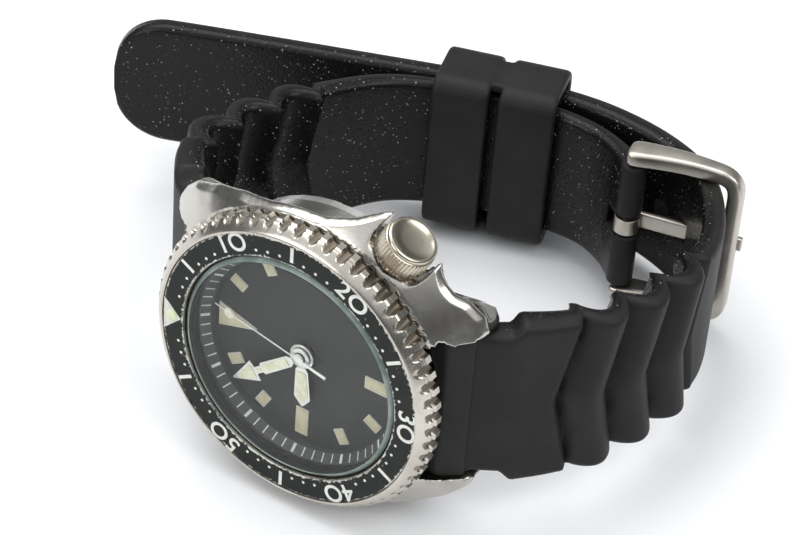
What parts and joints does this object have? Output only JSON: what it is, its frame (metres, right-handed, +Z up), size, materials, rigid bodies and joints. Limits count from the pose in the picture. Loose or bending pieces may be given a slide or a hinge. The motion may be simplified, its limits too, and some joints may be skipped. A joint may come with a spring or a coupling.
{
  "type": "dive watch",
  "caption": "Steel dive watch with a turning scalloped bezel, guarded crown and wavy black rubber strap, buckled into a loop and lying on its side.",
  "frame": {"origin": "centre of the bounding box on the surface it lies on", "axes": "+X along the longest extent, from the 12 o'clock lugs towards the free end of the strap (12 o'clock is towards -X), -Y the way the dial faces, +Z up, which is the 3 o'clock side"},
  "size_m": [0.0956, 0.0696, 0.0448],
  "materials": {
    "case_steel": "polished and satin, lightly worn",
    "bezel_steel": "polished with a worn rim",
    "back_steel": "satin",
    "buckle_steel": "brushed",
    "bar_steel": "turned",
    "movement_steel": "polished",
    "plate": "brushed nickel plating",
    "brass": "gilt",
    "hand_steel": "polished with pale lume",
    "insert": "anodised black with pale figures, chipped at the rims",
    "lume": "matte",
    "dial_paint": "matte dark grey with cream markers",
    "chapter": "satin grey with a pale minute track",
    "crystal": "clear mineral glass",
    "strap_rubber": "matte outside, glossy inside",
    "keeper_rubber": "matte",
    "seal_rubber": "matte"
  },
  "bodies": {
    "watch": {"case_body": "case_steel", "crown_tube": "case_steel", "case_back": "back_steel", "lug_bar_12": "bar_steel", "lug_bar_6": "bar_steel", "buckle_bar": "bar_steel", "bezel_click_spring": "movement_steel", "mainspring": "movement_steel", "hairspring": "movement_steel", "rotor_bearing": "movement_steel", "train_bridge": "plate", "balance_cock": "plate", "main_plate": "brass", "movement_ring": "brass", "dial": "dial_paint", "chapter_ring": "chapter", "crystal": "crystal", "strap_6": "strap_rubber", "strap_12": "strap_rubber", "case_back_gasket": "seal_rubber", "bezel_gasket": "seal_rubber", "crystal_gasket": "seal_rubber", "crown_gasket": "seal_rubber"},
    "bezel": {"bezel_ring": "bezel_steel", "bezel_insert": "insert", "bezel_pip": "lume"},
    "seconds": {"fourth_wheel": "brass", "second_hand": "hand_steel"},
    "minutes": {"center_wheel": "brass", "cannon_pinion": "movement_steel", "minute_hand": "hand_steel"},
    "hours": {"hour_wheel": "brass", "hour_hand": "hand_steel"},
    "minute_wheel_body": {"minute_wheel": "brass"},
    "third": {"third_wheel": "brass"},
    "escape": {"escape_wheel": "movement_steel"},
    "mainspring_drum": {"barrel": "brass"},
    "ratchet": {"barrel_arbor": "movement_steel"},
    "lever": {"pallet_fork": "movement_steel"},
    "balance": {"balance_wheel": "brass"},
    "winding_rotor": {"rotor": "plate"},
    "winding_sleeve": {"winding_pinion": "movement_steel"},
    "crown_and_stem": {"crown": "case_steel", "stem": "movement_steel"},
    "clutch": {"sliding_pinion": "movement_steel"},
    "loop_keeper": {"keeper": "keeper_rubber"},
    "buckle": {"buckle_frame": "buckle_steel"},
    "tongue": {"buckle_tongue": "buckle_steel"},
    "lug_bar_12_end_3": {"lug_bar_12_pin_3": "bar_steel"},
    "lug_bar_12_end_9": {"lug_bar_12_pin_9": "bar_steel"},
    "lug_bar_6_end_3": {"lug_bar_6_pin_3": "bar_steel"},
    "lug_bar_6_end_9": {"lug_bar_6_pin_9": "bar_steel"},
    "buckle_bar_end_3": {"buckle_bar_pin_3": "bar_steel"},
    "buckle_bar_end_9": {"buckle_bar_pin_9": "bar_steel"}
  },
  "joints": [
    {"name": "bezel_turn", "type": "hinge", "parent": "watch", "child": "bezel", "pos_m": [0.00998, -0.03079, 0.02166], "axis": [0, 0.989, -0.1478], "continuous": true},
    {"name": "seconds_run", "type": "hinge", "parent": "watch", "child": "seconds", "pos_m": [0.00998, -0.02882, 0.02136], "axis": [0, 0.989, -0.1478], "continuous": true},
    {"name": "minutes_run", "type": "hinge", "parent": "watch", "child": "minutes", "pos_m": [0.00998, -0.02783, 0.02121], "axis": [0, 0.989, -0.1478], "continuous": true},
    {"name": "hours_run", "type": "hinge", "parent": "watch", "child": "hours", "pos_m": [0.00998, -0.02783, 0.02121], "axis": [0, 0.989, -0.1478], "continuous": true},
    {"name": "minute_wheel_run", "type": "hinge", "parent": "watch", "child": "minute_wheel_body", "pos_m": [0.00608, -0.02695, 0.023], "axis": [0, 0.989, -0.1478], "continuous": true},
    {"name": "third_run", "type": "hinge", "parent": "watch", "child": "third", "pos_m": [0.00778, -0.0243, 0.02455], "axis": [0, 0.989, -0.1478], "continuous": true},
    {"name": "escape_run", "type": "hinge", "parent": "watch", "child": "escape", "pos_m": [0.0137, -0.02462, 0.02237], "axis": [0, 0.989, -0.1478], "continuous": true},
    {"name": "barrel_run", "type": "hinge", "parent": "watch", "child": "mainspring_drum", "pos_m": [0.00698, -0.02563, 0.01563], "axis": [0, 0.989, -0.1478], "continuous": true},
    {"name": "ratchet_wind", "type": "hinge", "parent": "watch", "child": "ratchet", "pos_m": [0.00698, -0.02464, 0.01548], "axis": [0, 0.989, -0.1478], "continuous": true},
    {"name": "lever_rock", "type": "hinge", "parent": "watch", "child": "lever", "pos_m": [0.01535, -0.02517, 0.02004], "axis": [0, 0.989, -0.1478], "range_deg": [-4, 4]},
    {"name": "balance_swing", "type": "hinge", "parent": "watch", "child": "balance", "pos_m": [0.01718, -0.02536, 0.01741], "axis": [0, 0.989, -0.1478], "range_deg": [-270, 270], "stiffness_Nm_per_rad": 0.000001},
    {"name": "rotor_swing", "type": "hinge", "parent": "watch", "child": "winding_rotor", "pos_m": [0.00998, -0.02239, 0.0204], "axis": [0, 0.989, -0.1478], "continuous": true},
    {"name": "crown_turn", "type": "hinge", "parent": "watch", "child": "winding_sleeve", "pos_m": [0.01578, -0.02426, 0.03084], "axis": [0.5, 0.128, 0.8565], "continuous": true},
    {"name": "crown_pull", "type": "slide", "parent": "winding_sleeve", "child": "crown_and_stem", "axis": [0.5, 0.128, 0.8565], "range_m": [0, 0.002]},
    {"name": "clutch_slide", "type": "slide", "parent": "winding_sleeve", "child": "clutch", "axis": [0.5, 0.128, 0.8565], "range_m": [-0.0006, 0]},
    {"name": "keeper_slide", "type": "slide", "parent": "watch", "child": "loop_keeper", "axis": [-0.9781, -0.2056, 0.0307], "range_m": [-0.0008, 0.002]},
    {"name": "buckle_tilt", "type": "hinge", "parent": "watch", "child": "buckle", "pos_m": [0.02758, 0.02123, 0.01388], "axis": [0, 0.1478, 0.989], "range_deg": [-2, 1.5]},
    {"name": "tongue_lift", "type": "hinge", "parent": "buckle", "child": "tongue", "pos_m": [0.02758, 0.02123, 0.01388], "axis": [0, 0.1478, 0.989], "range_deg": [0, 2.5]},
    {"name": "lug_bar_12_press_3", "type": "slide", "parent": "watch", "child": "lug_bar_12_end_3", "axis": [0, -0.1478, -0.989], "range_m": [0, 0.0009], "stiffness_N_per_m": 200, "springref_m": -0.001},
    {"name": "lug_bar_12_press_9", "type": "slide", "parent": "watch", "child": "lug_bar_12_end_9", "axis": [0, 0.1478, 0.989], "range_m": [0, 0.0009], "stiffness_N_per_m": 200, "springref_m": -0.001},
    {"name": "lug_bar_6_press_3", "type": "slide", "parent": "watch", "child": "lug_bar_6_end_3", "axis": [0, -0.1478, -0.989], "range_m": [0, 0.0009], "stiffness_N_per_m": 200, "springref_m": -0.001},
    {"name": "lug_bar_6_press_9", "type": "slide", "parent": "watch", "child": "lug_bar_6_end_9", "axis": [0, 0.1478, 0.989], "range_m": [0, 0.0009], "stiffness_N_per_m": 200, "springref_m": -0.001},
    {"name": "buckle_bar_press_3", "type": "slide", "parent": "watch", "child": "buckle_bar_end_3", "axis": [0, -0.1478, -0.989], "range_m": [0, 0.0009], "stiffness_N_per_m": 200, "springref_m": -0.001},
    {"name": "buckle_bar_press_9", "type": "slide", "parent": "watch", "child": "buckle_bar_end_9", "axis": [0, 0.1478, 0.989], "range_m": [0, 0.0009], "stiffness_N_per_m": 200, "springref_m": -0.001}
  ],
  "couplings": [
    {"joint": "minutes_run", "follows": "seconds_run", "ratio": 0.016667},
    {"joint": "hours_run", "follows": "seconds_run", "ratio": 0.0013889},
    {"joint": "minute_wheel_run", "follows": "seconds_run", "ratio": -0.0055556},
    {"joint": "third_run", "follows": "seconds_run", "ratio": -0.13333},
    {"joint": "escape_run", "follows": "seconds_run", "ratio": -10},
    {"joint": "barrel_run", "follows": "seconds_run", "ratio": -0.0025641},
    {"joint": "ratchet_wind", "follows": "crown_turn", "ratio": 0.4},
    {"joint": "clutch_slide", "follows": "crown_pull", "ratio": -0.3}
  ]
}
